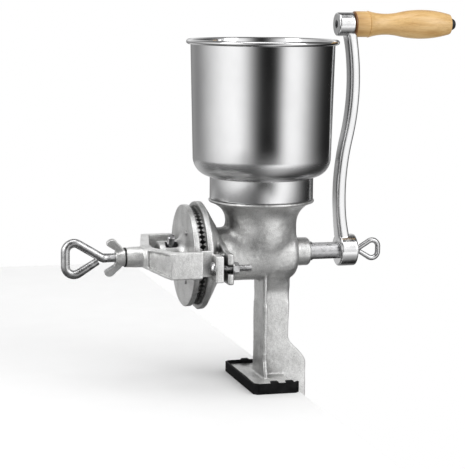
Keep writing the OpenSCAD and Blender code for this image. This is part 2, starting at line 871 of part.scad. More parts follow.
// Places its child on each bolt's axis, with Z along the bolt to the right from station x
module at_bolts(x) {
    both_sides() translate([-x, bolt_y, axis_z - bolt_drop]) rotate([0, 90, 0]) children();
}

module bridge_bolts() {
    dome = 5;
    dome_r = (pow(bolt_head_d / 2, 2) + pow(dome, 2)) / (2 * dome);
    color([0.6, 0.6, 0.62]) at_bolts(foot_left_x) {
        cylinder(h = bolt_len, d = bolt_d);
        rotate_extrude() intersection() {
            translate([0, dome_r - dome]) circle(dome_r);
            translate([0, -dome]) square([bolt_head_d, dome]);
        }
    }
}

module bridge_washers() {
    color([0.7, 0.7, 0.72]) at_bolts(ear_back) difference() {
        cylinder(h = washer_t, d = washer_d);
        translate([0, 0, -over]) cylinder(h = washer_t + 2 * over, d = bolt_d + 0.3);
    }
}

module bridge_nuts() {
    color([0.65, 0.65, 0.67]) at_bolts(ear_back - washer_t) difference() {
        cylinder(h = nut_h, d = nut_d, $fn = 6);
        translate([0, 0, -over]) cylinder(h = nut_h + 2 * over, d = bolt_d + 0.1);
    }
}

module thrust_ball() {
    color([0.7, 0.72, 0.75]) translate([-ball_x, 0, axis_z]) sphere(d = ball_d);
}

module adjusting_screw() {
    color([0.75, 0.75, 0.77]) {
        difference() {
            to_left(screw_tip) cylinder(h = eye_x - screw_tip + 2, d = adjust_d);
            translate([-ball_x, 0, axis_z]) sphere(ball_d / 2 + ball_gap);
        }
        translate([-eye_x, 0, axis_z]) wire_eye(adjust_d - 0.4, adjust_eye, adjust_eye_h, 8);
    }
}

module lock_washer() {
    color([0.15, 0.15, 0.16]) to_left(bridge_left) difference() {
        cylinder(h = lock_t, d = hub_tip_d);
        translate([0, 0, -over]) cylinder(h = lock_t + 2 * over, r = adjust_d / 2 + run_gap);
    }
}

module wing_nut() {
    tip_r = 5;
    tip_z = wing_span / 2 - tip_r;
    tip_x = wing_h - 0.5;
    tip_edge = 0.8 * tip_r;
    tip_rise = 0.6 * tip_r;
    base_r = hub_tip_d / 2 - 0.8;
    root_x = 1.5;
    root_end = wing_h - 1;
    root_z = 2;
    color([0.72, 0.72, 0.74]) difference() {
        union() {
            to_left(nut_right) cylinder(h = wing_h, r1 = base_r, r2 = base_r - 2);
            for (side = [0, 1]) {
                translate([-nut_right, 0, axis_z])
                    rotate([wing_turn + 180 * side, 0, 0])
                    translate([0, wing_t / 2, 0])
                    rotate([90, 0, 0])
                    linear_extrude(wing_t) {
                        translate([-tip_x, tip_z]) circle(tip_r);
                        polygon([
                            [-root_x, root_z], [-root_x, base_r - 0.5],
                            [-tip_x + tip_edge, tip_z + tip_rise], [-tip_x - tip_edge, tip_z - tip_rise],
                            [-root_end, base_r - 3], [-root_end, root_z]
                        ]);
                    }
            }
        }
        to_left(nut_right - over) cylinder(h = wing_h + 2 * over, r = adjust_d / 2 + run_gap);
    }
}

// Crank, its eye screw and the grip

// Points of the arm's section, on the two arcs that cross at its front and back edges
function crank_section() =
    let (half = acos(lens_off / lens_r), steps = 6)
    [
        for (side = [1, -1], i = [0 : steps - 1])
        let (a = half - 2 * half * i / steps)
        side * [lens_r * cos(a) - lens_off, lens_r * sin(a)]
    ];

// Stations up the crank's two arcs
function crank_path() =
    let (
        steps = 12,
        lower_x = crank_mid_x - crank_bow + crank_arc,
        upper_x = crank_mid_x + crank_bow - crank_arc
    )
    concat(
        [
            for (i = [0 : steps])
            let (a = 180 + crank_half - 2 * crank_half * i / steps)
            [lower_x + crank_arc * cos(a), axis_z + quarter + crank_arc * sin(a), a - 90]
        ],
        [
            for (i = [1 : steps])
            let (a = -crank_half + 2 * crank_half * i / steps)
            [upper_x + crank_arc * cos(a), axis_z + 3 * quarter + crank_arc * sin(a), a + 90]
        ]
    );

module crank_arm() {
    color([0.82, 0.82, 0.83]) difference() {
        union() {
            planar_sweep(crank_path(), crank_section());
            along_x(crank_x) bevel_end(crank_hub_od / 2, crank_hub_len, 1.5);
            translate([boss_x, 0, grip_z]) rotate([0, 90, 0]) cylinder(h = boss_len, d = boss_od);
        }
        intersection() {
            along_x(crank_x - over) cylinder(h = crank_hub_len + 2 * over, d = shaft_d + 0.2);
            translate([crank_x - over, -shaft_d, axis_z - shaft_flats / 2 - 0.1])
                cube([crank_hub_len + 2 * over, 2 * shaft_d, shaft_flats + 0.2]);
        }
        translate([boss_x - over, 0, grip_z]) rotate([0, 90, 0])
            cylinder(h = boss_len + 2 * over, d = grip_pin_d + 0.1);
        // Facing beside the grip, so that the arm's bow stays clear of it
        translate([boss_end, -grip_room, grip_z - grip_room]) cube(2 * grip_room);
    }
}

module crank_washer() {
    color([0.7, 0.7, 0.72]) along_x(crank_end) difference() {
        cylinder(h = crank_washer_t, d = crank_washer_d);
        translate([0, 0, -over])
            cylinder(h = crank_washer_t + 2 * over, r = crank_screw_d / 2 + run_gap);
    }
}

module crank_screw() {
    color([0.75, 0.75, 0.77]) {
        along_x(crank_end - crank_screw_in)
            cylinder(h = crank_screw_in + crank_washer_t + over, d = crank_screw_d);
        along_x(screw_seat) cylinder(h = shoulder_t, d = shoulder_d);
        translate([screw_seat + shoulder_t - 1, 0, axis_z]) mirror([1, 0, 0])
            wire_eye(crank_wire_d, crank_eye, crank_eye_h, 6);
    }
}

module on_grip(x) {
    translate([x, 0, grip_z]) rotate([0, 90, 0]) children();
}

module grip_pin() {
    sink = 2;
    color([0.6, 0.6, 0.62]) on_grip(boss_x + sink)
        cylinder(h = grip_end + cap_len - 1 - boss_x - sink, d = grip_pin_d);
}

// Radius of the turned grip at distance x from its collar's face
function grip_radius(x) =
    let (
        neck = grip_neck_d / 2 + neck_arc - sqrt(pow(neck_arc, 2) - pow(x - neck_at, 2)),
        swell = grip_swell_d / 2 - swell_arc + sqrt(pow(swell_arc, 2) - pow(x - swell_at, 2)),
        end_x = x - grip_len + end_arc,
        end = end_x < 0 ? grip_swell_d : sqrt(pow(end_arc, 2) - pow(end_x, 2))
    )
    min(x < arc_meet ? neck : swell, end);

// Turned grip: collar, hollow neck and swell, with a blunt round end
module grip() {
    edge = 1.5;
    collar_r = grip_collar_d / 2;
    body_len = grip_len - grip_collar_len - end_flat;
    steps = 30;
    color([0.87, 0.68, 0.42]) on_grip(grip_x) difference() {
        rotate_extrude() polygon(concat(
            [[0, 0], [collar_r - edge, 0], [collar_r, edge], [collar_r, grip_collar_len - edge]],
            [
                for (i = [0 : steps])
                let (x = grip_collar_len + body_len * sin(90 * i / steps))
                [grip_radius(x), x]
            ],
            [[0, grip_len - end_flat]]
        ));
        translate([0, 0, -over]) cylinder(h = grip_len + 2 * over, r = grip_pin_d / 2 + run_gap);
    }
}

module grip_cap() {
    color([0.3, 0.3, 0.31]) on_grip(grip_end) difference() {
        bevel_end(cap_d / 2, cap_len, 1.2);
        translate([0, 0, -over]) cylinder(h = cap_len + 2 * over, d = grip_pin_d + 0.1);
    }
}

// Table clamp

module clamp_screw() {
    shoulder = pad_bottom - pivot_gap;
    color([0.7, 0.7, 0.72]) translate([clamp_x, 0, 0]) {
        translate([0, 0, clamp_eye_z - 2]) cylinder(h = shoulder - clamp_eye_z + 2, d = clamp_d);
        translate([0, 0, shoulder - over]) cylinder(h = pivot_top - shoulder + over, d = pivot_d);
        translate([0, 0, clamp_eye_z]) rotate([0, -90, 0])
            wire_eye(clamp_wire_d, clamp_eye, clamp_eye_h, clamp_wire_d + 1);
    }
}

module clamp_pad() {
    color([0.6, 0.6, 0.62]) translate([clamp_x, 0, pad_bottom]) difference() {
        union() {
            cylinder(h = pad_boss_h + over, d = pad_boss_d);
            translate([0, 0, pad_boss_h]) cylinder(h = pad_disc_t, d = clamp_pad_d);
        }
        translate([0, 0, -over]) cylinder(h = pivot_h + pivot_gap + over, r = pivot_d / 2 + run_gap);
    }
}

body_casting();
foot_pad();
hopper();
auger();
drive_pin();
fixed_burr();
fixed_burr_screws();
burr_holder();
rotating_burr();
rotating_burr_screws();
bridge();
bridge_bolts();
bridge_washers();
bridge_nuts();
thrust_ball();
adjusting_screw();
lock_washer();
wing_nut();
crank_arm();
crank_washer();
crank_screw();
grip_pin();
grip();
grip_cap();
clamp_screw();
clamp_pad();
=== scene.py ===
"""Hand grain mill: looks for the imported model.

Sizes below are in millimetres unless a name says otherwise.
"""

import math

import bmesh
import bpy
import numpy as np
from mathutils import Matrix, Vector, noise


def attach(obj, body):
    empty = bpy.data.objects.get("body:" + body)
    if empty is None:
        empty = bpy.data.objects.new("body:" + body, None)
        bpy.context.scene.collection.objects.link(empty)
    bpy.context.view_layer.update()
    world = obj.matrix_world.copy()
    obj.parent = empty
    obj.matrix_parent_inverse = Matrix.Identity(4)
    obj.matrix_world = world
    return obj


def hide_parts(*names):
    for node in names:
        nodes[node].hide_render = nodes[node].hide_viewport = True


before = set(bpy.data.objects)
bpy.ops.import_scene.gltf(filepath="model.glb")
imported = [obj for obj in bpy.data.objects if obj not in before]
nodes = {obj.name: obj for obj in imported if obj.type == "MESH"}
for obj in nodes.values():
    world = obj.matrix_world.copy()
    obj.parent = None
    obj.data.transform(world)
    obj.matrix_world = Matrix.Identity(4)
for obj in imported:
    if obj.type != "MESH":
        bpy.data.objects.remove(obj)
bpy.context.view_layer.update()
scene = bpy.context.scene
MM = 0.001

# Stations of the part, as in its source
AXIS_Z = 123.0
LIP_Z = 174.0
SHOULDER_Z = 195.0
RIM_Z = 321.0
GRIP_Z = 335.0
CRANK_X = 75.0
CRANK_END = 92.0
CRANK_MID_X = 82.3
CRANK_THROW = 212.0
BOSS_X = 70.9
BOSS_LEN = 15.6
BALL_X = 100.8
SCREW_TIP = 102.8
EYE_X = 150.3
CLAMP_X = 6.0
CLAMP_EYE_Z = -103.0


# Mesh helpers

SHARP = 35  # degrees between faces from which an edge is drawn sharp
WELD = 1e-6  # metres


def new_object(name, verts, faces, smooth=True):
    """Mesh object from points in millimetres."""
    mesh = bpy.data.meshes.new(name)
    mesh.from_pydata([tuple(c * MM for c in v) for v in verts], [], [tuple(f) for f in faces])
    mesh.update()
    mesh.polygons.foreach_set("use_smooth", [smooth] * len(mesh.polygons))
    ob = bpy.data.objects.new(name, mesh)
    scene.collection.objects.link(ob)
    return ob


def grid_faces(rows, cols, closed_rows=False):
    """Quads of a grid that is closed round its columns."""
    faces = []
    for i in range(rows if closed_rows else rows - 1):
        j = (i + 1) % rows
        for k in range(cols):
            n = (k + 1) % cols
            faces.append((i * cols + k, i * cols + n, j * cols + n, j * cols + k))
    return faces


def axis_point(axis, origin, radius, angle, along):
    """Point at a radius, angle and distance along an axis named x, -x or z through origin."""
    c, s = radius * math.cos(angle), radius * math.sin(angle)
    if axis == "x":
        return (origin[0] + along, origin[1] + c, origin[2] + s)
    if axis == "-x":
        return (origin[0] - along, origin[1] - c, origin[2] + s)
    return (origin[0] + c, origin[1] + s, origin[2] + along)


def lathe(name, profile, axis, origin, segments, closed=False, sharp=SHARP):
    """Turned piece. The profile holds (radius, distance along the axis), and runs outward side first."""
    verts = []
    for r, a in profile:
        for k in range(segments):
            verts.append(axis_point(axis, origin, max(r, 0.0), 2 * math.pi * k / segments, a))
    faces = grid_faces(len(profile), segments, closed)
    ob = new_object(name, verts, faces)
    tidy(ob, sharp)
    return ob


def tidy(ob, sharp):
    """Welds coincident points, points the faces outward and keeps the sharp edges sharp."""
    bm = bmesh.new()
    bm.from_mesh(ob.data)
    bmesh.ops.remove_doubles(bm, verts=bm.verts, dist=WELD)
    bmesh.ops.dissolve_degenerate(bm, edges=bm.edges, dist=WELD)
    bmesh.ops.recalc_face_normals(bm, faces=bm.faces)
    limit = math.radians(sharp)
    for e in bm.edges:
        e.smooth = len(e.link_faces) != 2 or e.calc_face_angle(0.0) < limit
    bm.to_mesh(ob.data)
    bm.free()
    ob.data.polygons.foreach_set("use_smooth", [True] * len(ob.data.polygons))
    ob.data.update()


def sweep(name, path, rings):
    """Closed skin along path stations, each (point, direction across, direction up), with a ring each."""
    verts = []
    for (p, across, up), ring in zip(path, rings):
        for a, u in ring:
            verts.append(tuple(p[c] + across[c] * a + up[c] * u for c in range(3)))
    n = len(rings[0])
    faces = grid_faces(len(path), n)
    faces.append(tuple(range(n)))
    faces.append(tuple(range((len(path) - 1) * n, len(path) * n)))
    ob = new_object(name, verts, faces)
    tidy(ob, SHARP)
    return ob


def box(name, low, high):
    verts = [(x, y, z) for x in (low[0], high[0]) for y in (low[1], high[1]) for z in (low[2], high[2])]
    faces = [(0, 1, 3, 2), (4, 6, 7, 5), (0, 4, 5, 1), (2, 3, 7, 6), (0, 2, 6, 4), (1, 5, 7, 3)]
    return new_object(name, verts, faces, False)


def join(name, *parts):
    """One object from several, which are removed."""
    bm = bmesh.new()
    for p in parts:
        bm.from_mesh(p.data)
    mesh = bpy.data.meshes.new(name)
    bm.to_mesh(mesh)
    bm.free()
    for p in parts:
        bpy.data.objects.remove(p)
    ob = bpy.data.objects.new(name, mesh)
    scene.collection.objects.link(ob)
    return ob


def applied(ob):
    """Replaces ob's mesh by its own with the modifiers applied."""
    dg = bpy.context.evaluated_depsgraph_get()
    mesh = bpy.data.meshes.new_from_object(ob.evaluated_get(dg))
    old = ob.data
    ob.modifiers.clear()
    ob.data = mesh
    mesh.name = ob.name
    if old.users == 0:
        bpy.data.meshes.remove(old)
    return ob


def remeshed(source, name, voxel, rounds):
    """Closed copy of a mesh with soft edges, as a casting or moulding has them."""
    ob = bpy.data.objects.new(name, source.data.copy())
    ob.data.materials.clear()
    scene.collection.objects.link(ob)
    m = ob.modifiers.new("remesh", "REMESH")
    m.mode = "VOXEL"
    m.voxel_size = voxel * MM
    m.use_smooth_shade = True
    s = ob.modifiers.new("smooth", "SMOOTH")
    s.factor = 0.5
    s.iterations = rounds
    applied(ob)
    ob.data.polygons.foreach_set("use_smooth", [True] * len(ob.data.polygons))
    return ob


def mesh_points(ob):
    co = np.zeros(len(ob.data.vertices) * 3, np.float32)
    ob.data.vertices.foreach_get("co", co)
    return co.reshape(-1, 3).astype(float)


def mesh_normals(ob):
    no = np.zeros(len(ob.data.vertices) * 3, np.float32)
    ob.data.vertex_normals.foreach_get("vector", no)
    return no.reshape(-1, 3).astype(float)


def mesh_edges(ob):
    edges = np.zeros(len(ob.data.edges) * 2, np.int32)
    ob.data.edges.foreach_get("vertices", edges)
    return edges.reshape(-1, 2)


def move_points(ob, co):
    ob.data.vertices.foreach_set("co", co.astype(np.float32).ravel())
    ob.data.update()


def roughen(ob, layers):
    """Moves points along their normals by noise: layers hold (size, depth) in millimetres."""
    co = mesh_points(ob)
    move = np.zeros(len(co))
    for size, depth in layers:
        k = 1 / (size * MM)
        move += depth * MM * np.array([noise.noise(Vector(p) * k) for p in co.tolist()])
    move_points(ob, co + mesh_normals(ob) * move[:, None])


# Materials


class Finish:
    """Node material with helpers. Coordinates are the part's own, and sizes are in millimetres."""

    def __init__(self, name, color, metallic, roughness):
        self.material = bpy.data.materials.new(name)
        self.material.use_nodes = True
        self.tree = self.material.node_tree
        self.bsdf = self.tree.nodes["Principled BSDF"]
        self.set("Base Color", (*color, 1.0))
        self.set("Metallic", metallic)
        self.set("Roughness", roughness)
        self.coord = self.node("ShaderNodeTexCoord").outputs["Object"]

    def node(self, kind, **settings):
        n = self.tree.nodes.new(kind)
        for k, v in settings.items():
            setattr(n, k, v)
        return n

    def link(self, out, socket):
        self.tree.links.new(out, socket)

    def set(self, socket, value):
        self.bsdf.inputs[socket].default_value = value

    def scaled(self, sizes):
        m = self.node("ShaderNodeMapping")
        m.inputs["Scale"].default_value = [1 / (s * MM) for s in sizes]
        self.link(self.coord, m.inputs["Vector"])
        return m.outputs["Vector"]

    def noise(self, sizes, detail=3.0, roughness=0.55, distortion=0.0):
        n = self.node("ShaderNodeTexNoise")
        n.inputs["Scale"].default_value = 1.0
        n.inputs["Detail"].default_value = detail
        n.inputs["Roughness"].default_value = roughness
        n.inputs["Distortion"].default_value = distortion
        sizes = sizes if isinstance(sizes, tuple) else (sizes,) * 3
        self.link(self.scaled(sizes), n.inputs["Vector"])
        return n.outputs["Fac"]

    def cells(self, size):
        n = self.node("ShaderNodeTexVoronoi")
        n.inputs["Scale"].default_value = 1.0
        self.link(self.scaled((size,) * 3), n.inputs["Vector"])
        return n.outputs["Distance"]

    def math(self, operation, a, b):
        n = self.node("ShaderNodeMath", operation=operation)
        for socket, v in zip(n.inputs, (a, b)):
            if isinstance(v, (int, float)):
                socket.default_value = v
            else:
                self.link(v, socket)
        return n.outputs["Value"]

    def ramp(self, fac, stops):
        """Tone by fac: stops hold (place, colour or grey)."""
        n = self.node("ShaderNodeValToRGB")
        els = n.color_ramp.elements
        while len(els) < len(stops):
            els.new(0.5)
        for e, (at, c) in zip(els, stops):
            e.position = at
            e.color = (*c, 1.0) if isinstance(c, tuple) else (c, c, c, 1.0)
        self.link(fac, n.inputs["Fac"])
        return n.outputs["Color"]

    def shaded(self, tone, shade, share=1.0):
        """Tone multiplied by a shade, in part where share is below 1."""
        n = self.node("ShaderNodeMix", data_type="RGBA", blend_type="MULTIPLY")
        n.inputs["Factor"].default_value = share
        for socket, v in zip([s for s in n.inputs if s.type == "RGBA"], (tone, shade)):
            self.link(v, socket)
        return next(s for s in n.outputs if s.type == "RGBA")

    def to(self, out, socket):
        self.link(out, self.bsdf.inputs[socket])

    def range(self, fac, low, high, from_low=0.3, from_high=0.7):
        n = self.node("ShaderNodeMapRange")
        for socket, v in zip(("From Min", "From Max", "To Min", "To Max"), (from_low, from_high, low, high)):
            n.inputs[socket].default_value = v
        self.link(fac, n.inputs["Value"])
        return n.outputs["Result"]

    def bump(self, layers):
        """Layers hold (height, strength, depth in millimetres), coarse first."""
        normal = None
        for height, strength, depth in layers:
            n = self.node("ShaderNodeBump")
            n.inputs["Strength"].default_value = strength
            n.inputs["Distance"].default_value = depth * MM
            self.link(height, n.inputs["Height"])
            if normal is not None:
                self.link(normal, n.inputs["Normal"])
            normal = n.outputs["Normal"]
        self.link(normal, self.bsdf.inputs["Normal"])

    def occlusion_shade(self, reach):
        """Ambient occlusion, the share of the space within reach that is open: the casting paints shade into
        sheltered places by it.
        """
        n = self.node("ShaderNodeAmbientOcclusion", samples=8)
        n.inputs["Distance"].default_value = reach * MM
        return n.outputs["AO"]

    def attribute(self, name):
        return self.node("ShaderNodeAttribute", attribute_name=name).outputs["Fac"]


def tinned_casting(name, level=0.76, metal=0.92):
    """Tin-plated sand casting: satin, with a fine grain and soft clouds, and painted shade in its hollows and
    sheltered places.
    """
    f = Finish(name, (level, level, level), metal, 0.40)
    cloud = f.noise(14.0, 4.0)
    grain = f.noise(0.9, 3.0, 0.6)
    pits = f.cells(1.9)
    tone = f.ramp(f.math("ADD", f.math("MULTIPLY", cloud, 0.5), f.math("MULTIPLY", grain, 0.5)), [
        (0.37, (level * 0.74, level * 0.74, level * 0.73)), (0.62, (level * 1.17, level * 1.17, level * 1.16))
    ])
    # Painted shade: the colour darkens in hollow corners, by the cavity attribute.
    tone = f.shaded(tone, f.ramp(f.attribute("cavity"), [(0.0, 0.3), (0.5, 1.0)]))
    # Painted shade: the colour darkens where ambient occlusion finds little open space.
    tone = f.shaded(tone, f.ramp(f.occlusion_shade(38.0), [(0.3, 0.42), (0.72, 1.05)]))
    f.to(tone, "Base Color")
    f.to(f.range(cloud, 0.34, 0.46), "Roughness")
    f.bump([(cloud, 0.3, 0.4), (pits, 0.22, 0.3), (grain, 0.5, 0.2)])
    return f.material


def stainless(name):
    """Polished sheet, left satin where its shoulder was spun, and less so on the neck."""
    f = Finish(name, (0.74, 0.74, 0.745), 1.0, 0.2)
    lines = f.noise((60.0, 60.0, 0.35), 2.0)
    cloud = f.noise((30.0, 30.0, 45.0), 3.0)
    place = f.node("ShaderNodeSeparateXYZ")
    f.link(f.coord, place.inputs["Vector"])
    height = place.outputs["Z"]
    satin = f.range(height, 0.22, 0.0, (SHOULDER_Z + 9) * MM, (SHOULDER_Z + 32) * MM)
    neck = f.range(height, 0.13, 0.0, (SHOULDER_Z - 3) * MM, (SHOULDER_Z + 3) * MM)
    f.to(f.math("SUBTRACT", f.math("ADD", f.range(cloud, 0.08, 0.12), satin), neck), "Roughness")
    f.to(f.ramp(cloud, [(0.3, (0.70, 0.70, 0.705)), (0.7, (0.77, 0.77, 0.775))]), "Base Color")
    f.bump([(lines, 0.05, 0.05)])
    return f.material


def steel(name, color, rough, line=None, spots=0.0):
    """Machined or plated steel: line is the sizes of the tool marks, and spots darkens small blotches."""
    f = Finish(name, color, 1.0, rough)
    cloud = f.noise(4.0, 4.0)
    fine = f.noise(line if line else 0.9, 3.0)
    low = tuple(c * (0.72 - spots) for c in color)
    high = tuple(min(1, c * 1.12) for c in color)
    f.to(f.ramp(cloud, [(0.3, low), (0.55, color), (0.75, high)]), "Base Color")
    f.to(f.range(cloud, rough * 0.75, rough * 1.35), "Roughness")
    f.bump([(cloud, 0.15, 0.1), (fine, 0.25, 0.06)])
    return f.material


def polished(name):
    f = Finish(name, (0.80, 0.80, 0.805), 1.0, 0.2)
    haze = f.noise((6.0, 6.0, 40.0), 3.0)
    scratch = f.noise((0.5, 0.5, 14.0), 2.0)
    f.to(f.range(haze, 0.15, 0.28), "Roughness")
    f.to(f.ramp(haze, [(0.3, (0.74, 0.74, 0.745)), (0.7, (0.84, 0.84, 0.845))]), "Base Color")
    f.bump([(haze, 0.08, 0.2), (scratch, 0.05, 0.04)])
    return f.material


def burr_iron(name):
    f = Finish(name, (0.36, 0.36, 0.36), 0.9, 0.42)
    cloud = f.noise(5.0, 4.0)
    grain = f.noise(0.8, 3.0)
    f.to(f.ramp(cloud, [(0.3, 0.22), (0.5, (0.38, 0.38, 0.375)), (0.7, (0.55, 0.55, 0.54))]), "Base Color")
    f.to(f.range(cloud, 0.32, 0.5), "Roughness")
    f.bump([(cloud, 0.3, 0.2), (grain, 0.4, 0.12)])
    return f.material


def rubber(name):
    f = Finish(name, (0.018, 0.018, 0.019), 0.0, 0.5)
    cloud = f.noise(7.0, 3.0)
    grain = f.noise(0.6, 2.0)
    f.to(f.ramp(cloud, [(0.35, (0.004, 0.004, 0.0045)), (0.65, (0.011, 0.011, 0.012))]), "Base Color")
    f.to(f.range(cloud, 0.5, 0.65), "Roughness")
    f.set("Specular IOR Level", 0.14)
    f.bump([(grain, 0.3, 0.08)])
    return f.material


# Dark washer finish; on the grip pin it is painted shade.
def dark_washer_and_pin_shade(name):
    f = Finish(name, (0.02, 0.02, 0.021), 0.5, 0.45)
    cloud = f.noise(3.0, 3.0)
    f.to(f.ramp(cloud, [(0.35, (0.012, 0.012, 0.012)), (0.7, (0.05, 0.05, 0.052))]), "Base Color")
    f.to(f.range(cloud, 0.35, 0.55), "Roughness")
    f.bump([(cloud, 0.2, 0.1)])
    return f.material


def varnished_wood(name):
    f = Finish(name, (0.70, 0.44, 0.17), 0.0, 0.32)
    broad = f.noise((55.0, 7.0, 7.0), 3.0, 0.5, 0.6)
    grain = f.noise((26.0, 1.1, 1.1), 4.0, 0.6, 0.3)
    pores = f.noise((9.0, 0.35, 0.35), 2.0)
    tone = f.ramp(broad, [
        (0.30, (0.53, 0.295, 0.095)), (0.48, (0.65, 0.405, 0.155)), (0.66, (0.73, 0.485, 0.21))
    ])
    tone = f.shaded(tone, f.ramp(grain, [(0.30, (0.80, 0.72, 0.60)), (0.55, 1.0)]), 0.75)
    tone = f.shaded(tone, f.ramp(pores, [(0.30, (0.62, 0.50, 0.38)), (0.42, 1.0)]), 0.45)
    # Painted shade: the grip's end face beside the crank's boss is darkened.
    tone = f.shaded(tone, f.ramp(f.attribute("end_face_shade"), [(0.0, 1.0), (1.0, (0.30, 0.20, 0.12))]))
    f.to(tone, "Base Color")
    f.to(f.range(grain, 0.28, 0.42), "Roughness")
    f.set("Coat Weight", 0.35)
    f.set("Coat Roughness", 0.14)
    f.bump([(grain, 0.12, 0.12), (pores, 0.12, 0.05)])
    return f.material


FINISH = {
    "casting": tinned_casting("tinned_casting_finish"),
    # Painted light: the yoke and wing nut take a lighter copy of the same tinned casting, standing in for the
    # light their faces catch.
    "bridge": tinned_casting("bridge_casting_painted_light_finish", 0.88, 0.82),
    "stainless": stainless("stainless_finish"),
    "turned": steel("turned_steel_finish", (0.58, 0.58, 0.59), 0.3, (0.25, 30.0, 30.0)),
    "polished": polished("polished_steel_finish"),
    "zinc": steel("zinc_steel_finish", (0.70, 0.70, 0.705), 0.28, spots=0.1),
    "burr": burr_iron("burr_iron_finish"),
    "rubber": rubber("rubber_finish"),
    "wood": varnished_wood("varnished_wood_finish"),
    "washer": dark_washer_and_pin_shade("dark_washer_finish"),
}


def dress(ob, finish, body=None, stands_for=()):
    """Gives a piece its finish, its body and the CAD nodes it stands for."""
    ob.data.materials.clear()
    ob.data.materials.append(FINISH[finish])
    if body:
        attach(ob, body)
    if stands_for:
        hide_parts(*stands_for)
    return ob


# Cast pieces: soft-edged copies of their solids with a sand-cast skin

HOLDER_BORE_R, HOLDER_FLOOR_X = 7.57, -94.8
NUT_RIGHT, NUT_HUB_R = 130.0, 8.2


def mark_hollows(ob, depth, spread=8):
    """Writes the attribute cavity: 0 in hollow corners, rising to 1 on open faces. The casting finish paints shade
    into the hollows by it.
    """
    co, no, edges = mesh_points(ob), mesh_normals(ob), mesh_edges(ob)
    n = len(co)
    a, b = edges.T
    count = np.maximum(np.bincount(edges.ravel(), minlength=n), 1)

    def averaged(values):
        out = np.zeros_like(values)
        np.add.at(out, a, values[b])
        np.add.at(out, b, values[a])
        return out / (count[:, None] if values.ndim == 2 else count)

    hollow = ((averaged(co) - co) * no).sum(1) / (depth * MM)
    hollow = np.clip(hollow, 0, 1.5)
    for _ in range(spread):
        hollow = 0.4 * hollow + 0.6 * averaged(hollow)
    value = np.clip(1.0 - hollow, 0, 1).astype(np.float32)
    attribute = ob.data.attributes.new("cavity", "FLOAT", "POINT")
    attribute.data.foreach_set("value", value)


def soften(ob, weight, rounds, axes):
    """Runs cast walls into each other along some axes: weight gives each point's share, from 0 to 1."""
    co, edges = mesh_points(ob), mesh_edges(ob)
    share = weight(co / MM)
    edges = edges[(share[edges] > 0).any(axis=1)]
    near, places = np.unique(edges, return_inverse=True)
    a, b = places.reshape(-1, 2).T
    n = len(near)
    count = np.bincount(np.concatenate((a, b)), minlength=n)
    points, share = co[near], share[near] * 0.5
    for _ in range(rounds):
        for k in axes:
            around = np.bincount(a, points[b, k], n) + np.bincount(b, points[a, k], n)
            points[:, k] += share * (around / count - points[:, k])
    co[near] = points
    move_points(ob, co)


def band(values, low, high, edge):
    """1 between low and high, fading to 0 over edge on either side."""
    return np.clip((values - low) / edge + 1, 0, 1) * np.clip((high - values) / edge + 1, 0, 1)


def throat_root(co):
    """Where the throat's round bottom runs into the barrel, softer on the side of the plates."""
    x, y, z = co.T
    side = np.interp(x, [-20, 10, 26], [1.0, 0.7, 0.25])
    return band(x, -36, 26, 6) * band(z, 118, 158, 8) * band(np.abs(y), 12, 40, 8) * side


def leg_root(co):
    """Where the leg runs into the barrel."""
    x, _, z = co.T
    return band(x, -14, 34, 4) * band(z, 80, 104, 6)


def short_hub(ob):
    """Draws the wing nut's hub in towards its washer, so that the wings lean out over the thread."""
    drawn, fade = 0.36, 6.0
    co = mesh_points(ob)
    x, y, z = (co / MM).T
    share = np.clip((NUT_HUB_R + fade - np.hypot(y, z - AXIS_Z)) / fade, 0, 1)
    out = -x - NUT_RIGHT
    co[:, 0] = -(NUT_RIGHT + out * (1 - drawn * share)) * MM
    move_points(ob, co)


def true_bore(ob):
    """Sets the holder's softened bore back to its size, so that the shaft's end keeps its room."""
    slack = 0.5
    co = mesh_points(ob)
    x, y, z = (co / MM).T
    r = np.hypot(y, z - AXIS_Z)
    wall, depth = HOLDER_BORE_R - r, x - HOLDER_FLOOR_X
    near = (wall > -slack) & (depth > -slack)
    floor = near & (depth < wall)
    side = near & ~floor
    grow = HOLDER_BORE_R / np.maximum(r, 1.0)
    co[floor, 0] = HOLDER_FLOOR_X * MM
    co[side, 1] = (y * grow)[side] * MM
    co[side, 2] = ((z - AXIS_Z) * grow + AXIS_Z)[side] * MM
    move_points(ob, co)


def cast_piece(node, name, finish, body, voxel, rounds, skin, hollow_depth, roots=(), mend=None):
    """Casting from a CAD node: roots are soften's values, skin is roughen's, and mend sets its fits right."""
    ob = remeshed(nodes[node], name, voxel, rounds)
    for weight, times, axes in roots:
        soften(ob, weight, times, axes)
    roughen(ob, skin)
    if mend:
        mend(ob)
    mark_hollows(ob, hollow_depth)
    return dress(ob, finish, body, (node,))


ROOTS = [(throat_root, 260, (0, 1, 2)), (leg_root, 90, (1,)), (leg_root, 12, (0, 2))]
cast_piece("body_casting", "mill_body", "casting", "frame", 0.9, 4, [(11.0, 0.30), (3.2, 0.14)], 0.10, ROOTS)
cast_piece("bridge", "bridge_yoke", "bridge", "frame", 0.7, 3, [(9.0, 0.22), (2.8, 0.10)], 0.08)
cast_piece("burr_holder", "plate_holder", "casting", "turning_plate", 0.65, 2, [(8.0, 0.12), (2.5, 0.06)], 0.08,
           mend=true_bore)
cast_piece("wing_nut", "wing_nut_cast", "bridge", "wing_nut", 0.45, 4, [(5.0, 0.10)], 0.05, mend=short_hub)

pad = remeshed(nodes["foot_pad"], "rubber_foot", 0.55, 3)
dress(pad, "rubber", "frame", ("foot_pad",))


# Hopper: spun sheet with a rolled rim


def arc(cx, cz, r, start, end, steps):
    """Points (radius, height) on a circle, angles in degrees."""
    return [
        (cx + r * math.cos(math.radians(start + (end - start) * i / steps)),
         cz + r * math.sin(math.radians(start + (end - start) * i / steps)))
        for i in range(steps + 1)
    ]


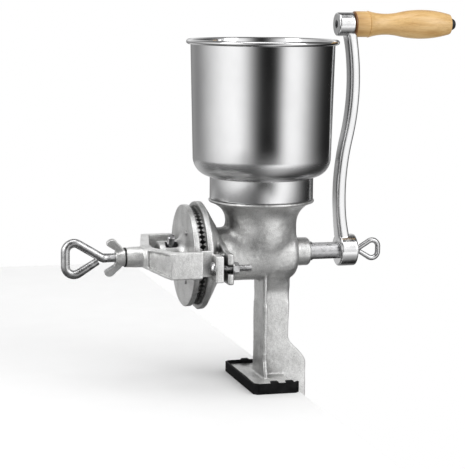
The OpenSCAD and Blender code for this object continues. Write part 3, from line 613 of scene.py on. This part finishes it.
def hopper_profile():
    flare_x, flare_z = 53.0, 152.0
    out_r, in_r = 25.4, 26.4
    heights = [164 + 1.25 * i for i in range(9)]

    def spigot(r, z):
        return (flare_x - math.sqrt(r * r - (z - flare_z) ** 2), z)

    outer = [spigot(out_r, z) for z in heights]
    outer += [(46.6, LIP_Z)] + arc(46.6, LIP_Z + 1.4, 1.4, -90, 0, 5)
    outer += [(48.0, SHOULDER_Z - 0.6)] + arc(48.6, SHOULDER_Z - 0.55, 0.6, 180, 95, 4)
    outer += arc(46.0, 213.0, 18.0, -78, 0, 26)
    outer += [(64.0 + 2.5 * t, 213.0 + 103.6 * t) for t in (0.2, 0.4, 0.6, 0.8, 0.97)]
    bead = arc(68.25, RIM_Z - 2.25, 2.25, -142, 140, 30)
    inner = [(65.75, RIM_Z - 0.9), (65.4, RIM_Z - 2.2)]
    inner += [(63.0 + 2.45 * t, 213.0 + 105.0 * t) for t in (0.9, 0.6, 0.3)]
    inner += arc(46.0, 213.0, 17.0, 0, -82, 26)
    inner += [(47.4, SHOULDER_Z + 0.5), (47.0, SHOULDER_Z - 0.4), (47.0, LIP_Z + 2.0), (46.2, LIP_Z + 1.0)]
    inner += [spigot(in_r, z) for z in reversed(heights)]
    return outer + bead + inner


hopper = lathe("hopper_shell", hopper_profile(), "z", (0, 0, 0), 192, True, 50)
dress(hopper, "stainless", "hopper", ("hopper",))


# Grip: turned wood with a collar, a hollow neck and a swell

GRIP_X, GRIP_LEN, COLLAR_R, COLLAR_LEN = 87.0, 96.9, 12.0, 14.0


def grip_radius(x):
    neck_at, swell_at, neck_r, swell_r, neck_arc, end_arc = 32.0, 66.9, 9.75, 13.5, 60.0, 34.0
    rise = swell_r - neck_r
    total = ((swell_at - neck_at) ** 2 + rise ** 2) / (2 * rise)
    swell_arc = total - neck_arc
    meet = neck_at + (swell_at - neck_at) * neck_arc / total
    if x < meet:
        r = neck_r + neck_arc - math.sqrt(neck_arc ** 2 - (x - neck_at) ** 2)
    else:
        r = swell_r - swell_arc + math.sqrt(swell_arc ** 2 - (x - swell_at) ** 2)
    if x > GRIP_LEN - end_arc:
        r = min(r, math.sqrt(end_arc ** 2 - (x - GRIP_LEN + end_arc) ** 2))
    return r


def grip_profile():
    edge = 1.6
    out = [(3.6, 0.0), (COLLAR_R - edge, 0.0)] + arc(COLLAR_R - edge, edge, edge, -90, 0, 6)[1:]
    out += [(COLLAR_R, COLLAR_LEN - 1.2)] + arc(COLLAR_R - 0.8, COLLAR_LEN - 0.8, 0.8, 0, 60, 4)
    start = COLLAR_LEN + 0.4
    length = GRIP_LEN - start - 0.6
    steps = 70
    for i in range(steps + 1):
        x = start + length * math.sin(math.pi / 2 * i / steps)
        out.append((grip_radius(x), x))
    return out + [(3.6, GRIP_LEN - 0.6)]


grip = lathe("wooden_grip", grip_profile(), "x", (GRIP_X, 0, GRIP_Z), 96, True, 50)
# Painted shade on the grip's end face beside the boss, fading out over 0.9 mm.
end_shade = grip.data.attributes.new("end_face_shade", "FLOAT", "POINT")
end_shade.data.foreach_set("value", [
    max(0.0, min(1.0, 1.0 - (v.co.x / MM - GRIP_X - 0.9) / 0.9)) for v in grip.data.vertices
])
dress(grip, "wood", "grip", ("grip",))

cap = lathe("grip_end_cap", [
    (3.55, 0.0), (6.0, 0.0), (6.0, 1.0), (5.4, 1.3), (5.4, 1.7), (5.1, 2.6), (4.5, 3.5), (3.7, 4.3),
    (2.6, 4.8), (1.4, 5.0), (1.1, 4.2), (0.0, 4.2), (0.0, 3.9), (3.55, 3.9)
], "x", (GRIP_X + GRIP_LEN, 0, GRIP_Z), 64, True, 40)
dress(cap, "washer", "crank", ("grip_cap",))


# Crank: swept bar, drawn into its hub and boss


def crank_stations(steps):
    """Centre line of the arm, two arcs that bow left and then right: (x, z, heading)."""
    quarter, bow = CRANK_THROW / 4, 6.0
    radius = (quarter ** 2 + bow ** 2) / (2 * bow)
    half = math.asin(quarter / radius)
    out = []
    for i in range(steps + 1):
        a = math.pi + half - 2 * half * i / steps
        x = CRANK_MID_X - bow + radius * (1 + math.cos(a))
        out.append((x, AXIS_Z + quarter + radius * math.sin(a), a - math.pi / 2))
    for i in range(1, steps + 1):
        a = -half + 2 * half * i / steps
        x = CRANK_MID_X + bow - radius * (1 - math.cos(a))
        out.append((x, AXIS_Z + 3 * quarter + radius * math.sin(a), a + math.pi / 2))
    return out


def bar_section(width, depth, turn, steps):
    """Rounded bar whose front face is turned a little outwards: points (across, back)."""
    c, s = math.cos(math.radians(turn)), math.sin(math.radians(turn))
    out = []
    for i in range(steps):
        t = 2 * math.pi * i / steps
        x = width / 2 * math.copysign(abs(math.cos(t)) ** 0.5, math.cos(t))
        y = depth / 2 * math.copysign(abs(math.sin(t)) ** 0.5, math.sin(t))
        out.append((y * s - x * c, x * s + y * c))
    return out


def rounded_disc(name, radius, length, edge, start, z):
    profile = [(0.0, 0.0)] + arc(radius - edge, edge, edge, -90, 0, 6)
    profile += arc(radius - edge, length - edge, edge, 0, 90, 6) + [(0.0, length)]
    return lathe(name, profile, "x", (start, 0, z), 96)


def crank_arm():
    section = bar_section(10.2, 13.0, 6.0, 48)
    path, rings = [], []
    for x, z, h in crank_stations(60):
        t = (z - AXIS_Z) / CRANK_THROW
        swell = 1.0 + 0.22 * math.exp(-((t - 0.05) / 0.07) ** 2) + 0.16 * math.exp(-((1.0 - t) / 0.06) ** 2)
        path.append(((x, 0.0, z), (-math.sin(h), 0.0, math.cos(h)), (0.0, 1.0, 0.0)))
        rings.append([(a * (1 + (swell - 1) * 0.4), u * swell) for a, u in section])
    return sweep("arm", path, rings)


def crank_tool():
    """What is cut from the crank: the pin's hole, the shaft's hole with its flats, and room beside the grip."""
    pin_r, sink_r, shaft_r, flat = 3.55, 3.9, 9.1, 7.1
    through = BOSS_LEN + 1.0
    pin_hole = lathe("pin_hole", [
        (0.0, -1.0), (sink_r, -1.0), (sink_r, 3.0), (pin_r, 3.0), (pin_r, through), (0.0, through)
    ], "x", (BOSS_X, 0, GRIP_Z), 48)
    through = CRANK_END - CRANK_X + 1.0
    shaft_hole = lathe("shaft_hole", [
        (0.0, -1.0), (shaft_r, -1.0), (shaft_r, through), (0.0, through)
    ], "x", (CRANK_X, 0, AXIS_Z), 64)
    for v in shaft_hole.data.vertices:
        v.co.z = max(min(v.co.z, (AXIS_Z + flat) * MM), (AXIS_Z - flat) * MM)
    room, face = COLLAR_R + 2.0, BOSS_X + BOSS_LEN
    facing = box("facing", (face, -room, GRIP_Z - room), (face + room, room, GRIP_Z + room))
    return join("crank_tool", pin_hole, shaft_hole, facing)


def crank():
    hub = rounded_disc("hub", 15.0, CRANK_END - CRANK_X, 1.5, CRANK_X, AXIS_Z)
    boss = rounded_disc("boss", 11.0, BOSS_LEN, 1.0, BOSS_X, GRIP_Z)
    rough = join("crank_rough", crank_arm(), hub, boss)
    ob = remeshed(rough, "crank_lever", 0.5, 9)
    bpy.data.objects.remove(rough)
    tool = crank_tool()
    m = ob.modifiers.new("bores", "BOOLEAN")
    m.operation = "DIFFERENCE"
    m.solver = "EXACT"
    m.object = tool
    applied(ob)
    bpy.data.objects.remove(tool)
    tidy(ob, 40)
    return ob


dress(crank(), "polished", "crank", ("crank_arm",))


# Screws, bolts and nuts


def threaded(name, axis, origin, start, end, diameter, pitch, depth, segments=32, per_turn=8):
    """Closed rod with a rolled thread along it and a small lead at each end."""
    rows = max(4, int(round(abs(end - start) / pitch * per_turn)))
    verts = []
    for i in range(rows + 1):
        a = start + (end - start) * i / rows
        edge = min(abs(a - start), abs(end - a))
        limit = diameter / 2 - depth + edge * 0.9
        for k in range(segments):
            phi = 2 * math.pi * k / segments
            r = diameter / 2 - depth * (0.5 + 0.5 * math.cos(2 * math.pi * a / pitch - phi))
            verts.append(axis_point(axis, origin, min(r, limit), phi, a))
    faces = grid_faces(rows + 1, segments)
    faces.append(tuple(range(segments)))
    faces.append(tuple(range(rows * segments, (rows + 1) * segments)))
    ob = new_object(name, verts, faces)
    tidy(ob, 60)
    return ob


def eye_path(wire, length, height, corner, steps=30):
    """Centre line of a bent eye: (x, z, heading). Its stem comes from the right to the origin."""
    mid_x = -(length - wire / 2 - corner)
    mid_z = height / 2 - wire / 2 - corner
    lean = math.atan2(mid_z, mid_x) - math.asin(corner / math.hypot(mid_x, mid_z))
    turn = 1.5 * math.pi - lean
    first = lean - math.pi / 2
    cut = 0.62 * wire
    out = [(1.6 * wire * (1 - i / 4), 0.0, math.pi) for i in range(3)]
    bend = 0.35 * wire
    for i in range(1, 6):
        t = i / 6
        out.append((bend * (1 - t) ** 2, bend * 0.12 * t ** 2, math.pi + (lean - math.pi) * t))
    out += [(math.cos(lean) * wire * 0.3, math.sin(lean) * wire * 0.3, lean)]
    for i in range(steps + 1):
        a = first + turn * i / steps
        out.append((mid_x + corner * math.cos(a), mid_z + corner * math.sin(a), a + math.pi / 2))
    for i in range(steps + 1):
        b = math.pi + turn * i / steps
        out.append((mid_x + corner * math.cos(b), -mid_z + corner * math.sin(b), b + math.pi / 2))
    out.append((cut * math.cos(lean), -cut * math.sin(lean), 3 * math.pi - lean))
    return out


def eye(name, place, wire, length, height, corner):
    """Bent wire eye; place turns a point of the flat centre line into a point of the part."""
    path, rings = [], []
    stations = eye_path(wire, length, height, corner)
    segments, end_taper = 28, 0.86
    ring = arc(0.0, 0.0, 1.0, 0, 360, segments)[:-1]
    for i, (x, z, h) in enumerate(stations):
        p = Vector(place(x, z))
        across = Vector(place(x - math.sin(h), z + math.cos(h))) - p
        path.append((p, across, (0.0, 1.0, 0.0)))
        r = wire / 2 * (end_taper if i == len(stations) - 1 else 1.0)
        rings.append([(r * a, r * u) for a, u in ring])
    return sweep(name, path, rings)


def adjusting_screw():
    at = (0.0, 0.0, AXIS_Z)
    r, cup = 4.25, 4.3
    thread, bare = 106.0, EYE_X - 4.0
    hollow = arc(0.0, BALL_X, cup, 90, 28, 10)
    tip = lathe("tip", hollow + [
        (r - 0.2, SCREW_TIP), (r, SCREW_TIP + 0.3), (r, thread + 1), (0.0, thread + 1)
    ], "-x", at, 48)
    stem = threaded("stem", "-x", at, thread, bare, 2 * r, 1.25, 0.55)
    neck = lathe("neck", [
        (0.0, bare - 0.6), (r - 0.4, bare - 0.6), (r, bare), (r, EYE_X), (0.0, EYE_X + 1)
    ], "-x", at, 48)
    loop = eye("loop", lambda x, z: (-EYE_X + x, 0.0, AXIS_Z + z), 8.1, 38.0, 37.0, 8.0)
    return join("adjusting_eye_screw", tip, stem, neck, loop)


def crank_screw():
    at = (0.0, 0.0, AXIS_Z)
    stem = threaded("stem", "x", at, CRANK_END - 18.0, CRANK_END + 1.8, 7.0, 1.0, 0.4)
    collar = lathe("collar", [
        (0.0, 93.5), (5.0, 93.5), (5.5, 94.0), (5.5, 95.0), (5.0, 95.5), (2.6, 96.2), (0.0, 96.2)
    ], "x", at, 48)
    loop = eye("loop", lambda x, z: (94.5 - x, 0.0, AXIS_Z + z), 5.0, 24.0, 22.0, 6.0)
    return join("crank_eye_screw", stem, collar, loop)


def clamp_screw():
    at = (CLAMP_X, 0.0, 0.0)
    stem = threaded("stem", "z", at, -99.0, -43.0, 12.0, 3.0, 1.2, 40, 14)
    neck = lathe("neck", [
        (0.0, -105.0), (5.4, -105.0), (6.0, -104.0), (6.0, -98.4), (4.9, -97.6), (0.0, -97.6)
    ], "z", at, 48)
    top = lathe("top", [
        (0.0, -43.6), (4.9, -43.6), (5.9, -42.6), (5.9, -40.9), (5.3, -40.3), (4.0, -40.3),
        (4.0, -33.6), (3.4, -33.0), (0.0, -33.0)
    ], "z", at, 48)
    loop = eye("loop", lambda x, z: (CLAMP_X - z, 0.0, CLAMP_EYE_Z + x), 8.0, 34.0, 38.0, 9.0)
    return join("clamp_eye_screw", stem, neck, top, loop)


dress(adjusting_screw(), "zinc", "adjusting_screw", ("adjusting_screw",))
dress(crank_screw(), "zinc", "crank_screw", ("crank_screw",))
dress(clamp_screw(), "zinc", "clamp_screw", ("clamp_screw",))

BOLT_Y, BOLT_Z, BOLT_X, NUT_X = 59.2, AXIS_Z - 3.5, -60.2, -43.0


def carriage_bolts():
    head_r, rise, steps = 6.2, 4.0, 10
    turns = [math.pi / 2 * i / steps for i in range(steps + 1)]
    head = [(0.0, 0.0), (head_r - 0.4, 0.0), (head_r, 0.4)]
    head += [(head_r * math.cos(t), 1.0 + rise * math.sin(t)) for t in turns]
    parts = []
    for y in (BOLT_Y, -BOLT_Y):
        parts.append(threaded("shank", "x", (0.0, y, BOLT_Z), BOLT_X - 0.5, BOLT_X + 34.0, 6.0, 1.0, 0.42))
        parts.append(lathe("head", head, "-x", (BOLT_X, y, BOLT_Z), 48))
    return join("bridge_bolt_pair", *parts)


def hex_nut(name, origin, height, across_corners, bore):
    """Hexagon nut with chamfered corners, its axis along X."""
    n = 72
    flat = across_corners / 2 * math.cos(math.pi / 6)
    rows = [[], [], [], [], [], []]
    for k in range(n):
        phi = 2 * math.pi * k / n
        d = flat / math.cos((phi + math.pi / 6) % (math.pi / 3) - math.pi / 6)
        drop = (d - flat) * 0.6
        near = [(bore, 0.0), (flat * 0.99, 0.0), (d, drop)]
        far = [(r, height - a) for r, a in reversed(near)]
        for row, (r, a) in zip(rows, near + far):
            row.append(axis_point("x", origin, r, phi, a))
    ob = new_object(name, [p for row in rows for p in row], grid_faces(len(rows), n, True))
    tidy(ob, 25)
    return ob


dress(carriage_bolts(), "zinc", "frame", ("bridge_bolts",))
nuts = [hex_nut("nut", (NUT_X, y, BOLT_Z), 4.8, 11.4, 3.05) for y in (BOLT_Y, -BOLT_Y)]
dress(join("bridge_nut_pair", *nuts), "zinc", "frame", ("bridge_nuts",))

swivel = lathe("clamp_swivel_pad", [
    (4.1, -40.0), (8.3, -40.0), (9.0, -39.3), (9.0, -33.6), (9.4, -32.7), (10.4, -32.2), (14.2, -32.0),
    (15.0, -31.2), (15.0, -28.8), (14.2, -28.0), (11.0, -28.0), (10.6, -28.5), (8.6, -28.5), (8.2, -28.0),
    (0.0, -28.0), (0.0, -32.7), (4.1, -32.7)
], "z", (CLAMP_X, 0, 0), 64, True, 30)
dress(swivel, "zinc", "clamp_pad", ("clamp_pad",))

# CAD nodes whose shape is right as it is
for node, finish in {
    "auger": "turned", "drive_pin": "turned", "thrust_ball": "polished",
    "fixed_burr": "burr", "rotating_burr": "burr", "fixed_burr_screws": "zinc", "rotating_burr_screws": "zinc",
    # The grip pin is zinc-plated steel: the dark washer finish on it is painted shade, as its end sits back in its
    # hole.
    "bridge_washers": "zinc", "lock_washer": "washer", "crank_washer": "zinc", "grip_pin": "washer",
}.items():
    dress(nodes[node], finish)


# Stage: a pale bench whose edge runs through the clamp, soft boxes, and dark cards that the metal mirrors


CAMERA_AZIMUTH = -16.5
TABLE_EDGE = 24.6
FLOOR_Z = -890.0


def plain(name, color, rough=0.9):
    f = Finish(name, color, 0.0, rough)
    cloud = f.noise(40.0, 2.0)
    f.to(f.ramp(cloud, [(0.3, tuple(c * 0.985 for c in color)), (0.7, color)]), "Base Color")
    return f.material


bench = box("bench", (-900, -900, -28), (TABLE_EDGE, 700, -0.02))
bench.data.materials.append(plain("bench_paint", (0.86, 0.86, 0.86)))


def panels(name, verts, faces, tones):
    """Studio panels that only the metal's reflections see, each corner with its own brightness."""
    ob = new_object(name, verts, faces, False)
    tone = ob.data.attributes.new("tone", "FLOAT", "POINT")
    tone.data.foreach_set("value", tones)
    f = Finish(name + "_cloth", (0.0, 0.0, 0.0), 0.0, 1.0)
    f.set("Emission Color", (1.0, 1.0, 1.0, 1.0))
    f.to(f.attribute("tone"), "Emission Strength")
    ob.data.materials.append(f.material)
    ob.visible_camera = False
    ob.visible_diffuse = False
    ob.visible_shadow = False


# Strip lights with soft edges, high up, on the studio's wall, and as they show on the ground: degrees to the right
# of the camera, fade to the left and to the right, brightness. Between them is dark cloth.
HIGH = [(-48, 60, 31, 1.22), (46, 26, 33, 1.2), (-152, 22, 22, 0.3), (180, 50, 50, 0.8)]
WALL = [(-48, 60, 31, 1.22), (51, 22, 33, 1.2), (-152, 22, 22, 0.25), (172, 18, 18, 0.1)]
GROUND = [(-48, 60, 34, 0.3), (34, 32, 38, 1.45), (-150, 35, 35, 0.85), (172, 18, 18, 0.5)]
CLOTH = 0.01


def strip_tone(strips, right):
    tone = CLOTH
    for middle, fade_left, fade_right, level in strips:
        off = (right - middle + 180) % 360 - 180
        inner = abs(middle) < 90 and off * middle < 0
        fade = fade_left if off < 0 else fade_right
        tone += level * math.exp(-(abs(off / fade) ** (3 if inner else 2)))
    return tone


def studio_wall(radius, columns=144):
    """Ring of strip lights round the stage, with a dark ceiling above and a floor below."""
    ceiling, inner, middle = 2400, radius * 0.6, radius * 0.02
    rows = [
        (middle, ceiling, HIGH, 0.1), (inner, ceiling, HIGH, 0.15), (radius, ceiling, HIGH, 0.4),
        (radius, 900, HIGH, 1.0), (radius, 260, WALL, 1.0), (radius, -330, WALL, 1.0), (radius, -450, GROUND, 1.0),
        (radius, FLOOR_Z, GROUND, 0.8), (inner, FLOOR_Z, GROUND, 0.4), (middle, FLOOR_Z, GROUND, 0.2)
    ]
    verts, tones = [], []
    for r, z, strips, share in rows:
        for i in range(columns):
            right = -180 + 360 * i / columns
            a = math.radians(CAMERA_AZIMUTH + right)
            verts.append((math.sin(a) * r, -math.cos(a) * r, z))
            tones.append(strip_tone(strips, right) * share)
    panels("studio_wall", verts, grid_faces(len(rows), columns), tones)


def table_shade_sheet(edge, size=1000.0, reach=500.0, steps=16):
    """Tones that the metal mirrors from the table top, with painted shade: dark below the mill, for the shade it
    casts there, and paler away from it.
    """
    verts, tones = [], []
    for i in range(steps + 1):
        x = edge - size * (i / steps) ** 2
        for k in range(-steps, steps + 1):
            y = size * k * abs(k) / steps ** 2
            right = (math.degrees(math.atan2(x, -y)) - CAMERA_AZIMUTH + 180) % 360 - 180
            verts.append((x, y, 0.4))
            # Painted shade: darkest near the mill, for the shade it casts on the table.
            tones.append(strip_tone(GROUND, right) * (0.04 + 0.66 * min(1.0, math.hypot(x, y) / reach)))
    n = 2 * steps + 1
    corners = [i * n + k for i in range(steps) for k in range(n - 1)]
    faces = [(c, c + 1, c + n + 1, c + n) for c in corners]
    panels("table_shade_sheet", verts, faces, tones)


studio_wall(2600)
table_shade_sheet(TABLE_EDGE)


def soft_box(name, azimuth, elevation, distance, size, power):
    lamp = bpy.data.lights.new(name, "AREA")
    lamp.shape = "RECTANGLE"
    lamp.size, lamp.size_y = size
    lamp.energy = power
    ob = bpy.data.objects.new(name, lamp)
    a, e = math.radians(azimuth), math.radians(elevation)
    aim = Vector((0, 0, 0.15))
    back = Vector((math.sin(a) * math.cos(e), -math.cos(a) * math.cos(e), math.sin(e)))
    ob.location = aim + back * distance
    ob.rotation_mode = "QUATERNION"
    ob.rotation_quaternion = (-back).to_track_quat("-Z", "Y")
    ob.visible_camera = False
    scene.collection.objects.link(ob)


soft_box("soft_left", -70, 34, 1.9, (0.8, 1.6), 10)
soft_box("soft_right", 41, 34, 1.9, (0.7, 1.6), 8)
soft_box("soft_top", -10, 80, 1.8, (1.2, 1.2), 10)

world = bpy.data.worlds.new("studio")
scene.world = world
world.use_nodes = True
tree = world.node_tree
background = tree.nodes["Background"]
background.inputs["Color"].default_value = (1.0, 1.0, 1.0, 1.0)
path = tree.nodes.new("ShaderNodeLightPath")
seen = tree.nodes.new("ShaderNodeMath")
seen.operation = "MAXIMUM"
tree.links.new(path.outputs["Is Camera Ray"], seen.inputs[0])
tree.links.new(path.outputs["Is Glossy Ray"], seen.inputs[1])
clear = tree.nodes.new("ShaderNodeMath")
clear.operation = "MAXIMUM"
tree.links.new(seen.outputs["Value"], clear.inputs[0])
tree.links.new(path.outputs["Is Transmission Ray"], clear.inputs[1])
FILL = 0.75
level = tree.nodes.new("ShaderNodeMapRange")
level.inputs["To Min"].default_value = FILL
level.inputs["To Max"].default_value = 1.0
tree.links.new(clear.outputs["Value"], level.inputs["Value"])
tree.links.new(level.outputs["Result"], background.inputs["Strength"])

# Camera at the photograph's place
CAMERA_DISTANCE, CAMERA_HEIGHT = 1570.0, 372.0
FOCAL_PX, HORIZON_Y, MIDDLE_X, ROLL = 1702.0, -17.2, 261.4, 0.52
IMAGE_W, IMAGE_H, SENSOR = 465, 469, 36.0
camera_data = bpy.data.cameras.new("camera")
camera = bpy.data.objects.new("camera", camera_data)
scene.collection.objects.link(camera)
scene.camera = camera
camera_data.sensor_width = SENSOR
camera_data.lens = FOCAL_PX / max(IMAGE_W, IMAGE_H) * SENSOR
camera_data.clip_end = 50.0
turn = math.radians(CAMERA_AZIMUTH)
pitch = math.atan((IMAGE_H / 2 - HORIZON_Y) / FOCAL_PX)
yaw = math.atan((MIDDLE_X - IMAGE_W / 2) / FOCAL_PX * math.cos(pitch))
back = Vector((math.sin(turn), -math.cos(turn), 0.0))
camera.location = (back * CAMERA_DISTANCE + Vector((0.0, 0.0, CAMERA_HEIGHT))) * MM
camera.rotation_euler = (
    Matrix.Rotation(turn + yaw, 4, "Z")
    @ Matrix.Rotation(math.pi / 2 - pitch, 4, "X")
    @ Matrix.Rotation(math.radians(ROLL), 4, "Z")
).to_euler()

scene.view_settings.view_transform = "Standard"

bpy.context.view_layer.update()
